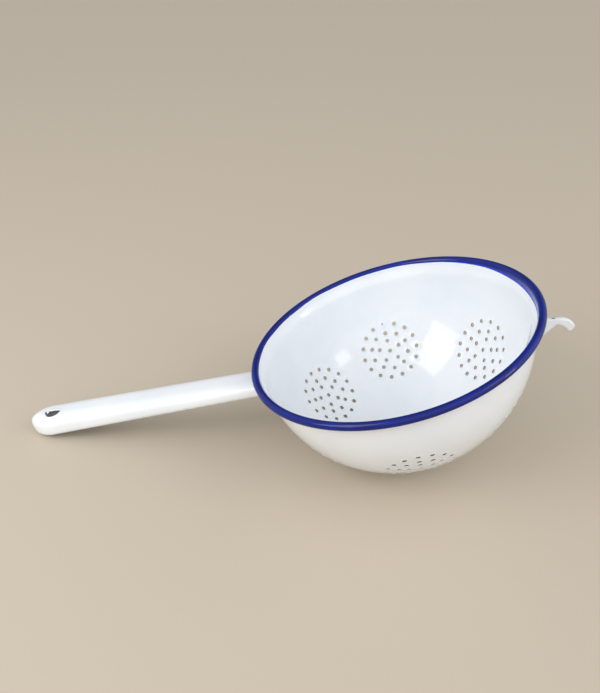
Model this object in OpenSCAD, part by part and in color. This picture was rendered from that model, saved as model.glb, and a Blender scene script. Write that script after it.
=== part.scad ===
// Enamelled steel colander with one long pressed handle and a small resting hook.
// It stands as it does on a table: on the bottom of its bowl and on the tip of its handle,
// with the hook towards +X, the handle towards -X and the table at z = 0.
// Each piece is drawn in the bowl's own frame, whose z = 0 is the middle of the rolled rim,
// and stand() then tips the whole colander onto the table.

/* [Bowl] */
// Inner radius of the bowl's round wall
bowl_r = 110.8; // [100:0.1:125]
// Thickness of the enamelled steel sheet of the bowl
wall = 1.5; // [1:0.1:2]
// How far the centre of the round wall lies below the middle of the rim
centre_drop = 1.7; // [0:0.1:4]
// How far the mouth is flared out at the rim
flare = 2.5; // [1:0.1:4]
// Height of the flared band below the rim
flare_h = 12; // [9:0.5:16]

/* [Rolled rim] */
// Diameter of the rolled rim with its blue coat
bead_d = 6.7; // [6:0.1:9]
// Thickness of the blue coat on the rim
coat = 0.35; // [0.2:0.05:0.5]
// Angle at which the blue coat starts on the inner side of the rim
coat_start = 168; // [140:1:175]
// Angle below the rim at which the rolled sheet and the coat end
curl_end = 110; // [90:1:115]

/* [Drain holes] */
// Diameter of one drain hole
hole_d = 3.4; // [2.5:0.1:4.5]
// Radius of the inner ring of five holes
ring_1 = 9.8; // [8.5:0.1:11]
// Radius of the middle ring of ten holes
ring_2 = 17; // [15.5:0.1:19]
// Radius of the outer ring of fifteen holes
ring_3 = 25.5; // [24:0.1:28]
// Angle from the bottom of the bowl up to the middle of a side group of holes
group_up = 52; // [48:0.5:56]

/* [Handle] */
// Length of the handle along its base line, from the bowl to its tip
handle_l = 226.5; // [150:0.5:260]
// Width of the handle
handle_w = 30.3; // [26:0.1:36]
// Height of the crown above the base line at the bowl
crown_root = 7.5; // [5:0.1:10]
// Height of the crown above the base line at the tip
crown_tip = 14.4; // [9:0.1:18]
// Radius of the lip that is turned in along the lower edge
lip_r = 4.7; // [3.5:0.1:6.5]
// Thickness of the enamelled steel sheet of the handle
handle_t = 1.5; // [1:0.1:2]
// Length of the rounded end
end_l = 21.5; // [15:0.1:28]
// Roundness of the end seen from above, where 2 is an ellipse
end_round = 1.65; // [1.5:0.05:2.5]
// Squareness of the section, where 2 is an ellipse
section_round = 3.2; // [2.5:0.1:5]
// Depth of the base line below the middle of the rim, at the bowl
handle_drop = 20.5; // [18:0.1:30]
// Distance from the bowl's wall to the start of the base line
handle_start = 0.9; // [0:0.1:3]
// Slope of the base line up towards the tip, in degrees
handle_rise = 1.7; // [0:0.1:5]
// Distance from the bowl within which the handle's section follows the bowl's round face
free_l = 34; // [28:1:45]

/* [Handle foot] */
// Radius at which the sheet turns from the handle onto the bowl
foot_r = 2.5; // [2:0.1:4]
// Width of the foot beside and below the handle
foot_w = 6; // [4:0.5:8]
// Width of the foot above the handle, under the rim
foot_top_w = 2.5; // [2:0.5:4]
// Space between the foot and the bowl, which the fired enamel fills
seat = 0.1; // [0.05:0.05:0.3]

/* [Hanging eye] */
// Length of the oval eye along the handle
eye_l = 15.2; // [10:0.1:18]
// Width of the oval eye
eye_w = 8.1; // [5:0.1:12]
// Distance from the tip to the middle of the eye
eye_back = 25.7; // [22:0.1:40]
// How far the eye is punched off the middle of the handle
eye_side = 4.4; // [-5:0.1:5]

/* [Hook] */
// Width of the folded hook
hook_w = 4.4; // [4:0.1:7]
// Thickness of the hook's enamelled sheet
hook_t = 1.1; // [0.8:0.1:1.4]
// How far the middle of the round tip stands out beyond the middle of the saddle
hook_reach = 9.6; // [9:0.1:13]
// Radius of the hook's round tip
hook_tip_r = 3.2; // [3:0.1:4]
// Depth of the hook's tip below the top of the saddle
hook_low = 7.7; // [6.5:0.1:10]
// Depth of the hook's top below the middle of the rim, at its outer end
hook_top = 19.2; // [18:0.1:22]
// Slope of the hook's top edge down towards its end, in degrees
hook_slope = 11; // [6:1:18]
// Slope of the web's lower edge up to the saddle, in degrees
web_slope = 36; // [32:1:45]
// Radius of the round outer edge that turns the top edge down to the tip
corner_r = 14.3; // [12:0.1:16]
// Radius of the saddle under the hook, which sits on the edge of a pot
saddle_r = 3.6; // [3:0.1:4.5]
// Distance from the bowl's wall to the middle of the saddle
saddle_reach = 15.3; // [13:0.1:20]
// Depth of the top of the saddle below the hook's top
saddle_low = 5.1; // [4:0.1:7]

/* [Hook feet and welds] */
// Width over the two feet of the hook
ear_w = 17; // [15:0.5:22]
// Height of the feet of the hook
ear_h = 19; // [17:0.5:22]
// How far the feet reach up above the hook's top
ear_rise = 2.2; // [1:0.1:5]
// Radius of the round corners of the feet
ear_corner = 3; // [1:0.5:5]
// Diameter of one spot weld
weld_d = 3.6; // [2.5:0.1:4]
// How far a spot weld stands proud of the sheet it holds
weld_proud = 0.3; // [0.1:0.1:0.6]

/* [Hidden] */
$fn = 96;
big = 400;

// Rim and bowl, in the bowl's own frame
bead_r = bead_d / 2;
bowl_out = bowl_r + wall;
mouth_r = sqrt(bowl_r * bowl_r - centre_drop * centre_drop) + flare;
curl_x = mouth_r + bead_r;
flare_steps = 10;

// How far parts of one piece lap into each other, and how far a cut runs past what it cuts
lap = 0.2;
past = 3;

// Groups of holes: the turn about the bowl from the hook, the turn of the group's own spokes,
// and how far it sits above or below the common height. They are set by hand, as on the real bowl.
side_groups = [
    [37, -1, 0.5],
    [99, -1, 0],
    [152, -6, -2.5],
    [213.5, 0, 0],
    [273, 1, 0.5],
    [331, 0, 0],
];

// Handle frame: l runs along the base line from the bowl, h stands square to it
root_x = sqrt(bowl_out * bowl_out - pow(handle_drop - centre_drop, 2)) + handle_start;
half_w = handle_w / 2;

// Tilt at which the bowl and the lip of the handle's tip both touch the table
tip_l = handle_l - lip_r;
tip_x = root_x + tip_l * cos(handle_rise);
tip_z = -handle_drop + tip_l * sin(handle_rise) + centre_drop;
tilt = asin((bowl_out - lip_r) / norm([tip_x, tip_z])) + atan2(tip_z, tip_x);

function arc(x, y, r, from, to, steps) =
    [for (i = [0:steps]) [x, y] + r * along(from + (to - from) * i / steps)];

function along(a) = [cos(a), sin(a)];

function smooth(u) = let (v = min(max(u, 0), 1)) v * v * (3 - 2 * v);

// Tips the bowl's frame onto the table, with the bowl's contact point at the origin
module stand() {
    translate([-centre_drop * sin(tilt), 0, bowl_out + centre_drop * cos(tilt)])
        rotate([0, -tilt, 0])
            children();
}

// Moves the handle's frame to its place on the bowl
module at_handle() {
    translate([-root_x, 0, -handle_drop])
        rotate([0, handle_rise, 0])
            mirror([1, 0, 0])
                children();
}

// Bowl

// Radius of a round wall of radius r at height z, with the flare of the mouth added
function wall_at(r, z) =
    sqrt(r * r - pow(z + centre_drop, 2)) + flare * smooth((z + flare_h) / flare_h);

module round_wall() {
    intersection() {
        difference() {
            translate([0, -centre_drop]) circle(r = bowl_out);
            translate([0, -centre_drop]) circle(r = bowl_r);
        }
        translate([0, -big]) square([big, big - flare_h]);
    }
}

// The flared wall laps a little into the round wall below it and into the rolled rim above it
module flared_wall() {
    heights = [for (i = [0:flare_steps]) -flare_h * (1 - i / flare_steps)];
    inside = [for (z = heights) [wall_at(bowl_r, z), z]];
    outside = [for (i = [flare_steps:-1:0]) [wall_at(bowl_out, heights[i]), heights[i]]];
    above = [[mouth_r + lap, lap], [mouth_r + wall - lap, lap]];
    below = [
        [wall_at(bowl_out, -flare_h) - lap, -flare_h - lap],
        [wall_at(bowl_r, -flare_h) + lap, -flare_h - lap],
    ];
    polygon(concat(inside, above, outside, below));
}

// Sector of a ring about the middle of the rolled rim, from one angle down to another
module rim_sector(r_out, r_in, from, to) {
    intersection() {
        translate([curl_x, 0])
            difference() {
                circle(r = r_out);
                circle(r = r_in);
            }
        translate([curl_x, 0])
            polygon(concat([[0, 0]], arc(0, 0, past * bead_r, from, to, flare_steps)));
    }
}

// Rolled rim, thinner where the blue coat lies on it
module rolled_sheet() {
    difference() {
        rim_sector(bead_r, bead_r - wall, 180, -curl_end);
        rim_sector(bead_r + past, bead_r - coat, coat_start, -curl_end - past);
    }
}

module bowl_blank() {
    rotate_extrude($fn = 180) round_wall();
    rotate_extrude($fn = 180) flared_wall();
    rotate_extrude($fn = 180) rolled_sheet();
}

// One group of holes about the downward direction, drilled towards the bowl's round centre
module drain_group() {
    drill();
    for (ring = [[ring_1, 5], [ring_2, 10], [ring_3, 15]])
        for (i = [0:ring[1] - 1])
            rotate([0, 0, i * 360 / ring[1]])
                rotate([0, -asin(ring[0] / bowl_r), 0])
                    drill();
}

module drill() {
    translate([0, 0, -bowl_out - past])
        cylinder(d = hole_d, h = wall + 2 * past, $fn = 24);
}

module bowl() {
    color("white") stand() difference() {
        bowl_blank();
        translate([0, 0, -centre_drop]) {
            drain_group();
            for (g = side_groups)
                rotate([0, 0, g[0]])
                    rotate([0, -group_up - g[2], 0])
                        rotate([0, 0, g[1]])
                            drain_group();
        }
    }
}

// Blue coat on the rolled rim
module rim_band() {
    color("midnightblue") stand()
        rotate_extrude($fn = 180)
            rim_sector(bead_r, bead_r - coat, coat_start, -curl_end);
}

// Handle

arc_steps = 8;
lip_steps = 4;
side_steps = arc_steps + lip_steps;
fillet_steps = 4;
near_steps = 4;
far_steps = 6;
end_steps = 14;
turn_l = foot_r + handle_t;
end_start = handle_l - end_l;

function crown(l) = crown_root + (crown_tip - crown_root) * l / handle_l;

// Outline of the section on one side at distance l: crown to lip as [y, h, normal y, normal h]
function side_point(l, j) =
    j <= arc_steps ? crown_point(crown(l), 90 * j / arc_steps)
    : lip_point(90 * (j - arc_steps) / lip_steps);

function crown_point(rise, a) =
    let (u = pow(sin(a), 2 / section_round), v = pow(cos(a), 2 / section_round),
         ny = pow(u, section_round - 1) / half_w, nh = pow(v, section_round - 1) / rise,
         n = norm([ny, nh]))
    [half_w * u, rise * v, ny / n, nh / n];

function lip_point(g) = [half_w - lip_r * (1 - cos(g)), -lip_r * sin(g), cos(g), -sin(g)];

// Distance along the handle of the bowl's outer face, at a place beside and above the base line
function bowl_face(y, h) =
    let (r = wall_at(bowl_out, h * cos(handle_rise) - handle_drop))
    sqrt(r * r - y * y) - root_x + h * sin(handle_rise) + seat;

// A point of the skin: w from the bowl, pushed out by o along the section's normal
function skin_point(l, side, j, w, o) =
    let (p = side_point(l, j), y = p[0] + o * p[2], h = p[1] + o * p[3],
         free = smooth((w - turn_l) / (free_l - turn_l)))
    [w + (1 - free) * bowl_face(y, h), side * y, h];

// How far the foot reaches out from the section at point j
function foot_reach(j) =
    let (up = max(side_point(0, j)[3], 0)) foot_r + foot_w + (foot_top_w - foot_w) * up;

// Rows of the fillet between the foot and the handle, of radius r and starting at distance w,
// as [distance from the bowl, push along the normal]
function fillet(w, r) =
    [for (i = [0:fillet_steps]) let (a = 90 * (1 - i / fillet_steps))
        [w + r * (1 - sin(a)), foot_r - r * cos(a)]];

body_rows = concat(
    [for (i = [1:near_steps]) turn_l + (free_l - turn_l) * i / near_steps],
    [for (i = [1:far_steps]) free_l + (end_start - free_l) * i / far_steps]);

// One row across the handle, from the lip on one side over the crown to the other lip
function row(l, w, push) = [for (i = [-side_steps:side_steps])
    skin_point(l, i < 0 ? -1 : 1, abs(i), w, push)];

function foot_row(w) = [for (i = [-side_steps:side_steps])
    skin_point(0, i < 0 ? -1 : 1, abs(i), w, foot_reach(abs(i)))];

// Rays of the rounded end, as half sections from the middle of the end out to its lip
function end_ray(t, push) =
    let (m = end_round, s = pow(pow(abs(cos(t)), m) + pow(abs(sin(t)), m), -1 / m),
         k = s * cos(t), v = s * abs(sin(t)), side = t < 0 ? 1 : -1)
    [for (j = [1:side_steps]) end_point(k, v, side, j, push)];

function end_point(k, v, side, j, push) =
    let (l_edge = pow(k, end_round - 1) / end_l, y_edge = pow(v, end_round - 1) / half_w,
         e = norm([l_edge, y_edge]),
         a = 90 * min(j, arc_steps) / arc_steps, u = pow(sin(a), 2 / section_round),
         c = pow(cos(a), 2 / section_round), rise = crown(end_start + u * k * end_l),
         flat = pow(u, section_round - 1),
         nh = j >= arc_steps ? 0 : pow(c, section_round - 1) / rise,
         n = norm([flat * l_edge, flat * y_edge, nh]),
         g = 90 * max(j - arc_steps, 0) / lip_steps,
         d = j > arc_steps ? [l_edge / e * cos(g), y_edge / e * cos(g), -sin(g)]
             : [flat * l_edge / n, flat * y_edge / n, nh / n],
         back = lip_r * (1 - cos(g)))
    [end_start + u * k * end_l - back * l_edge / e + push * d[0],
     side * (u * v * half_w - back * y_edge / e + push * d[1]),
     rise * c - lip_r * sin(g) + push * d[2]];

// All points of one skin: rows from the foot to the rounded end, then the rays around the end
function skin(turn, push) = concat(
    foot_row(turn[0][0]),
    [for (f = turn) each row(0, f[0], f[1])],
    [for (w = body_rows) each row(w, w, push)],
    [for (i = [1:end_steps - 1]) each end_ray(90 - 180 * i / end_steps, push)]);

row_n = 2 * side_steps + 1;
rows_n = 2 + fillet_steps + len(body_rows);
rays_at = rows_n * row_n;
skin_n = rays_at + (end_steps - 1) * side_steps;
apex = rays_at - row_n + side_steps;

// Index of point j of ray i, where rays 0 and end_steps are the halves of the last row
function on_ray(i, j) = j == 0 ? apex
    : i == 0 ? apex - j
    : i == end_steps ? apex + j
    : rays_at + (i - 1) * side_steps + j - 1;

skin_faces = concat(
    [for (i = [0:rows_n - 2], j = [0:row_n - 2]) let (a = i * row_n + j) each
        [[a, a + 1, a + row_n + 1], [a, a + row_n + 1, a + row_n]]],
    [for (i = [0:end_steps - 1]) [apex, on_ray(i + 1, 1), on_ray(i, 1)]],
    [for (i = [0:end_steps - 1], j = [1:side_steps - 1]) each
        [[on_ray(i, j), on_ray(i + 1, j), on_ray(i + 1, j + 1)],
         [on_ray(i, j), on_ray(i + 1, j + 1), on_ray(i, j + 1)]]]);

// Edge of a skin, once around: the foot, one long lip, the end and the other long lip
skin_edge = concat(
    [for (j = [0:row_n - 1]) j],
    [for (i = [1:rows_n - 1]) i * row_n + row_n - 1],
    [for (i = [end_steps - 1:-1:1]) on_ray(i, side_steps)],
    [for (i = [rows_n - 1:-1:1]) i * row_n]);

module handle_shell() {
    edge_n = len(skin_edge);
    rim_faces = [for (i = [0:edge_n - 1])
        let (a = skin_edge[i], b = skin_edge[(i + 1) % edge_n]) each
        [[a, b + skin_n, b], [a, a + skin_n, b + skin_n]]];
    inner_faces = [for (f = skin_faces) [f[2], f[1], f[0]] + skin_n * [1, 1, 1]];
    outer_skin = skin(fillet(handle_t, foot_r), 0);
    inner_skin = skin(fillet(0, turn_l), -handle_t);
    polyhedron(
        points = concat(outer_skin, inner_skin),
        faces = concat(skin_faces, inner_faces, rim_faces),
        convexity = 6);
}

// A tool with round ends that is longer than it is wide, from half the crown's height upwards
module eye_cut() {
    straight = eye_l - eye_w;
    translate([handle_l - eye_back, -eye_side, crown_tip / 2]) {
        for (x = [-1, 1])
            translate([x * straight / 2, 0, 0])
                cylinder(d = eye_w, h = crown_tip);
        translate([-straight / 2, -eye_w / 2, 0])
            cube([straight, eye_w, crown_tip]);
    }
}

// Spot welds lie on the foot beside the handle, by one share of the foot's width and of the
// crown's and the lip's height, each at a turn about the bowl and an angle below its centre
weld_share = 0.55;
handle_weld_turn = asin((half_w + foot_r + weld_share * foot_w) / bowl_out);
handle_weld_heights = weld_share * [crown_root, -lip_r];

module at_handle_welds() {
    for (s = [-1, 1], h = handle_weld_heights)
        translate([0, 0, -centre_drop])
            rotate([0, 0, 180 + s * handle_weld_turn])
                rotate([0, 90 + asin((handle_drop - h - centre_drop) / bowl_out), 0])
                    children();
}

module weld(thickness) {
    translate([0, 0, bowl_out - lap])
        cylinder(d = weld_d, h = lap + thickness + weld_proud);
}

module round_solid() {
    translate([0, 0, -centre_drop]) sphere(r = bowl_out, $fn = 360);
}

module handle() {
    color("white") stand() difference() {
        at_handle() difference() {
            handle_shell();
            eye_cut();
        }
        at_handle_welds() weld(handle_t + past);
    }
}

module handle_welds() {
    color("gainsboro") stand() difference() {
        at_handle_welds() weld(handle_t + seat);
        round_solid();
    }
}

// Hook

saddle_x = bowl_out + saddle_reach;
saddle_z = -hook_top - saddle_low - saddle_r;
tip_x_mid = saddle_x + hook_reach;
tip_z_mid = -hook_top - saddle_low - hook_low + hook_tip_r;

// The straight underside touches the tip's round from one side and the saddle's from the other
tip_out = [tip_x_mid - saddle_x, tip_z_mid - saddle_z];
under = acos((hook_tip_r + saddle_r) / norm(tip_out)) + atan2(tip_out[1], tip_out[0]);

// The round outer edge runs on into the round tip, and both have one direction where they meet
corner_z = -hook_top - corner_r;
meet = asin((tip_z_mid - corner_z) / (corner_r - hook_tip_r));
corner_x = tip_x_mid - (corner_r - hook_tip_r) * cos(meet);

// Height at x of a straight edge with the given slope that leaves a circle tangentially
function edge_z(x, middle, r, slope) = middle[1] + (r + (middle[0] - x) * sin(slope)) / cos(slope);

// Outline of the hook in its own plane. The hollow between its sheets takes an inset, which pulls
// in its top and tip and lets it out below, where the sheets' edges are open. Its straight edges
// end inside the bowl, where the bowl's round face cuts them off.
function hook_outline(inset) = concat(
    [[bowl_r, edge_z(bowl_r, [corner_x, corner_z], corner_r, hook_slope) - inset]],
    arc(corner_x, corner_z, corner_r - inset, 90 - hook_slope, meet, 8),
    arc(tip_x_mid, tip_z_mid, hook_tip_r - inset, meet, under - 180, 8),
    inset > 0 ? [beyond_tip(hook_tip_r + inset)] : [],
    arc(saddle_x, saddle_z, saddle_r - inset, under, 90 + web_slope, 8),
    [[web_end_x, edge_z(web_end_x, [saddle_x, saddle_z], saddle_r - inset, -web_slope)]]);

// The point at a radius from the middle of the tip's round, square to the straight underside
function beyond_tip(r) = [tip_x_mid - r * cos(under), tip_z_mid - r * sin(under)];

web_end = 0.9;
web_end_x = web_end * bowl_r;

module hook_solid(width, inset) {
    translate([0, width / 2, 0])
        rotate([90, 0, 0])
            linear_extrude(width)
                polygon(hook_outline(inset));
}

ear_low = ear_rise - hook_top - ear_h;

// The two feet of the hook, as one plate with round corners that follows the bowl
module ear_plate() {
    side = ear_w / 2 - ear_corner;
    intersection() {
        difference() {
            translate([0, 0, -centre_drop])
                sphere(r = bowl_out + hook_t, $fn = 360);
            round_solid();
        }
        translate([bowl_r / 2, 0, ear_low]) {
            translate([0, -ear_w / 2, ear_corner])
                cube([bowl_r, ear_w, ear_h - 2 * ear_corner]);
            translate([0, -side, 0])
                cube([bowl_r, 2 * side, ear_h]);
            for (y = [-side, side], z = [ear_corner, ear_h - ear_corner])
                translate([0, y, z])
                    rotate([0, 90, 0])
                        cylinder(r = ear_corner, h = bowl_r);
        }
    }
}

// The spot welds lie in the middle of the two feet
hook_weld_turn = asin((ear_w + hook_w) / 4 / bowl_out);
hook_weld_drop = asin((-ear_low - ear_h / 2 - centre_drop) / bowl_out);

module at_hook_welds() {
    for (s = [-1, 1])
        translate([0, 0, -centre_drop])
            rotate([0, 0, s * hook_weld_turn])
                rotate([0, 90 + hook_weld_drop, 0])
                    children();
}

module hook() {
    color("white") stand() difference() {
        union() {
            difference() {
                hook_solid(hook_w, 0);
                round_solid();
            }
            ear_plate();
        }
        hook_solid(hook_w - 2 * hook_t, hook_t);
        at_hook_welds() weld(hook_t + past);
    }
}

module hook_welds() {
    color("gainsboro") stand() difference() {
        at_hook_welds() weld(hook_t);
        round_solid();
    }
}

bowl();
rim_band();
handle();
handle_welds();
hook();
hook_welds();
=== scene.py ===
import math

import bmesh
import bpy
import numpy as np
from mathutils import Matrix, Vector
from mathutils.geometry import delaunay_2d_cdt


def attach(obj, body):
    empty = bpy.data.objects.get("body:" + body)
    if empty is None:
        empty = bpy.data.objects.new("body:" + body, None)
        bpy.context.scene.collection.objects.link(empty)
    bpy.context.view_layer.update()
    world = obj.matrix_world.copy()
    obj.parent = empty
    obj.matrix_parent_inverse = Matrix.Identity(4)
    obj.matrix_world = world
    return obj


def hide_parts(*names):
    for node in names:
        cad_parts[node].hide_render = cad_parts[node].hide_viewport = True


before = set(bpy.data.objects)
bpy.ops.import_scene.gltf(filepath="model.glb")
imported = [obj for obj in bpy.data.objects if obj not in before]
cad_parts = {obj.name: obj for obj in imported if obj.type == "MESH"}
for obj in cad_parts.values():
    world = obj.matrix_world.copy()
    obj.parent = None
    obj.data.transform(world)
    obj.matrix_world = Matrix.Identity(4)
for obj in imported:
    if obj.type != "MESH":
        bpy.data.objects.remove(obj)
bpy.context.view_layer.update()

# Sizes are in millimetres in the bowl's own frame, whose z = 0 is the middle of the rolled rim.
# stand() then tips the points onto the table, as the CAD does, and turns them into metres.
MM = 0.001
WELD = 1e-6

# Bowl and rolled rim
BOWL_R = 110.8
WALL = 1.5
BOWL_OUT = BOWL_R + WALL
CENTRE_DROP = 1.7
FLARE = 2.5
FLARE_H = 12.0
BEAD_R = 3.35
COAT = 0.3
CURL_END = 110.0
MOUTH_R = math.sqrt(BOWL_R**2 - CENTRE_DROP**2) + FLARE
CURL_X = MOUTH_R + BEAD_R
AROUND = 240
DENTS = 0.09

# Start of the blue coat along the inner face: from here on, and further down the inside near
# the hook, where the thin part that shows bright blue is wider too
COAT_START = 0.7
COAT_DEEPER = 5.4
NEAR_HOOK = math.radians(46)
COAT_THIN = 1.1
COAT_THIN_HOOK = 6.0

# The coat's edge is more uneven to both sides of the handle
WAVY_AT = math.radians(150)
WAVY_SPREAD = math.radians(16)

# Drain holes: rings of a group as (radius, count), and the groups as
# (turn about the bowl from the hook, angle from the bottom, turn of the group's own spokes)
HOLE_R = 1.7
RINGS = [(0.0, 1), (9.8, 5), (17.0, 10), (25.5, 15)]
GROUP_UP = 52.0
GROUPS = [
    (0.0, 0.0, 0.0),
    (37.0, GROUP_UP + 0.5, -1.0),
    (99.0, GROUP_UP, -1.0),
    (152.0, GROUP_UP - 2.5, -6.0),
    (213.5, GROUP_UP, 0.0),
    (273.0, GROUP_UP + 0.5, 1.0),
    (331.0, GROUP_UP, 0.0),
]
HOLE_SIDES = 12
PIERCED_TO = math.radians(72)
NET = 4.0

# Raised lips of enamel round the holes, lower below the bottom, which nearly touches the table
LIP_FOOT = 3.1
LIP_INSIDE = 0.3
LIP_OUTSIDE = 0.16
LIP_BOTTOM = 0.12

# One hole of the third group is nearly filled: its share of the bore that is left, where that
# lies, and how much higher its lip stands
FILLED = 78
FILLED_SHARE = 0.45
FILLED_SHIFT = np.array([-0.38, 0.3, 0.5])
FILLED_LUMP = 0.3

# Handle, whose round end stays a hair short of the CAD's, which has flat facets there
HANDLE_L = 226.5
HALF_W = 30.3 / 2
CROWN_ROOT = 7.5
CROWN_TIP = 14.4
HANDLE_LIP = 4.7
SHEET = 1.5
END_SHY = 0.05
END_L = 21.5 - END_SHY
END_START = HANDLE_L - END_SHY - END_L
END_ROUND = 1.65
SQUARE = 3.2
HANDLE_DROP = 20.5
HANDLE_RISE = math.radians(1.7)
HANDLE_START = 0.9
FOOT_R = 2.5
FOOT_W = 6.0
FOOT_TOP_W = 2.5
SEAT = 0.1
FREE_L = 34.0
CUT_BULGE = 0.45

# Hanging eye
EYE_AT = np.array([HANDLE_L - 25.7, -4.4])
EYE_L = 15.2
EYE_W = 8.1
EYE_FOOT = 2.6

# The eye's outline from its end at the tip round by the far side: places (l, y) from its middle,
# with a tongue of enamel after the second one, and the turns in degrees on the lip's oval foot
# that they run out to
EYE_PLACES = [
    (7.6, 2.2), (7.2, 4.0), (5.6, 2.1), (4.95, 0.2), (4.7, 0.55), (3.9, 2.3), (3.25, 4.0),
    (-0.9, 3.9), (-5.0, 3.5), (-7.5, 1.8), (-6.6, -0.5), (-4.9, -2.7), (-1.75, -3.95),
    (1.7, -3.9), (4.1, -3.1), (5.2, -1.4),
]
EYE_TURNS = [15, 42, 52, 56, 60, 65, 72, 96, 122, 160, 192, 218, 255, 282, 308, 335]
EYE_SPAN = 4
EYE_SIDES = EYE_SPAN * len(EYE_PLACES)

# Hook, its feet and the spot welds
HOOK_W = 4.4
HOOK_T = 1.1
HOOK_FOLD = 1.3
HOOK_TOP = 19.2
HOOK_SLOPE = math.radians(11)
HOOK_CORNER = 14.3
HOOK_TIP_R = 3.2
SADDLE_R = 3.6
SADDLE_REACH = BOWL_OUT + 15.3
SADDLE_LOW = HOOK_TOP + 5.1
HOOK_REACH = SADDLE_REACH + 9.6 + HOOK_TIP_R
HOOK_LOW = SADDLE_LOW + 7.7
WEB_SLOPE = math.radians(36)
EAR_W = 17.0
EAR_H = 19.0
EAR_RISE = 2.2
EAR_MID = -HOOK_TOP + EAR_RISE - EAR_H / 2
WELD_SHARE = 0.55
WELD_FOOT = 2.7
WELD_PROUD = 0.3

# How the hook's sections run: how far the web starts inside the bowl, where the top edge gets
# closer steps, where the top and the underside end on the tip's round, and how the sheets
# spread towards their feet
WEB_IN = 8.0
KNEE_SHARE = 0.77
NOSE_END = math.radians(-110)
BELOW_END = math.radians(-125)
SPLAY = 1.6
SPLAY_REACH = 2.2

# Sections of the hook with a bare and a grey place on the fold, and with a thin front edge
BARE_TOP = slice(10, 13)
GREY_TOP = 8
THIN_EDGE = slice(20, 31)
BEND_STEPS = 6

# Light of the room: the way and the strength of each wide lobe, and the share of its way at
# which a lobe starts and how far it takes to its full strength
AIR = [
    ((1.0, 0.0, 0.2), 0.60),
    ((0.7, -0.7, 0.2), 0.72),
    ((-1.0, -0.3, 0.3), 0.84),
    ((0.0, 0.0, 1.0), 0.11),
]
LOBE_FROM = -0.2
LOBE_RAMP = 1.2

# The photograph's view
LENS = 38.657
SHIFT_UP = 0.149
VIEW_FROM = Vector((-44.38, -525.47, 429.52))
VIEW_RIGHT = Vector((0.99833, 0.05772, -0.00062))
VIEW_UP = Vector((-0.03666, 0.64223, 0.76564))

# The tilt at which the bowl and the lip of the handle's tip both touch the table
ROOT_X = math.sqrt(BOWL_OUT**2 - (HANDLE_DROP - CENTRE_DROP) ** 2) + HANDLE_START
TIP_L = HANDLE_L - HANDLE_LIP
TIP_X = ROOT_X + TIP_L * math.cos(HANDLE_RISE)
TIP_Z = -HANDLE_DROP + TIP_L * math.sin(HANDLE_RISE) + CENTRE_DROP
TILT = math.asin((BOWL_OUT - HANDLE_LIP) / math.hypot(TIP_X, TIP_Z)) + math.atan2(TIP_Z, TIP_X)


def points(*axes):
    """Points from their coordinates, each a number or an array of one shape."""
    return np.stack(np.broadcast_arrays(*axes), axis=-1).astype(float)


def stand(p):
    """Turns the bowl's frame by the tilt about y, lifts it onto the table, and gives metres."""
    c, s = math.cos(TILT), math.sin(TILT)
    x, y, z = p[..., 0], p[..., 1], p[..., 2] + CENTRE_DROP
    return points(x * c - z * s, y, x * s + z * c + BOWL_OUT) * MM


def smooth(u):
    """0 up to 0, 1 from 1 on, and a smooth step between them."""
    v = np.clip(u, 0, 1)
    return v * v * (3 - 2 * v)


def unit(v):
    return v / np.linalg.norm(v, axis=-1, keepdims=True)


class Shell:
    """Patches of points and faces that are welded into closed skins, with a value at each
    point, from 0 to 1, that says how thin the enamel is there and also carries painted
    shade inside the hollow handle and hook and in the bores."""

    def __init__(self):
        self.points, self.faces, self.thin_and_shade, self.count = [], [], [], 0

    def add(self, p, faces, thin_and_shade=0.0):
        p = p.reshape(-1, 3)
        self.points.append(p)
        self.faces += (np.asarray(faces) + self.count).tolist()
        self.thin_and_shade.append(np.broadcast_to(np.asarray(thin_and_shade, float).ravel(), (len(p),)))
        self.count += len(p)

    def grid(self, p, thin_and_shade=0.0, closed=False):
        """Quads between neighbouring rows and columns of p; closed joins its last column
        to its first."""
        rows, columns = p.shape[:2]
        index = np.arange(rows * columns).reshape(rows, columns)
        if closed:
            index = np.concatenate([index, index[:, :1]], axis=1)
        quads = np.stack([index[:-1, :-1], index[:-1, 1:], index[1:, 1:], index[1:, :-1]], axis=-1)
        self.add(p, quads.reshape(-1, 4), np.broadcast_to(thin_and_shade, (rows, columns)))

    def piece(self, name, material, slot, *nodes):
        """Welds the patches, turns the faces outwards and lets the piece stand for its
        CAD nodes."""
        mesh = bpy.data.meshes.new(name)
        mesh.from_pydata(stand(np.concatenate(self.points)).tolist(), [], self.faces)
        thin_and_shade = mesh.attributes.new("thin_and_shade", "FLOAT", "POINT")
        thin_and_shade.data.foreach_set("value", np.concatenate(self.thin_and_shade).astype(np.float32))
        welded = bmesh.new()
        welded.from_mesh(mesh)
        bmesh.ops.remove_doubles(welded, verts=welded.verts, dist=WELD)
        bmesh.ops.recalc_face_normals(welded, faces=welded.faces)
        welded.to_mesh(mesh)
        welded.free()
        mesh.polygons.foreach_set("use_smooth", np.ones(len(mesh.polygons), bool))
        mesh.materials.append(material)
        made = bpy.data.objects.new(name, mesh)
        bpy.context.scene.collection.objects.link(made)
        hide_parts(*nodes)
        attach(made, "root")
        return made


def triangles(plan, edges):
    """Triangles between the plan points, with the given edges kept."""
    _, _, faces, made_from, _, _ = delaunay_2d_cdt(plan.tolist(), edges, [], 0, 1e-6, True)
    source = np.array([m[0] for m in made_from])
    return source[np.array(faces)]


def loop_edges(first, count):
    return [(first + i, first + (i + 1) % count) for i in range(count)]


def uneven(p):
    """The slight dents of a pressed and fired sheet: the mean of four long sine waves in
    different directions, times the dents' size."""
    ways = unit(np.array([[0.9, 0.3, 0.3], [-0.4, 0.8, 0.5], [0.2, -0.6, 0.8], [0.7, 0.7, -0.2]]))
    lengths = np.array([46.0, 61.0, 38.0, 83.0])
    shifts = np.array([0.4, 2.1, 3.7, 5.2])
    return DENTS * np.sin(p @ ways.T * 2 * np.pi / lengths + shifts).mean(axis=-1)


# Bowl


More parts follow.
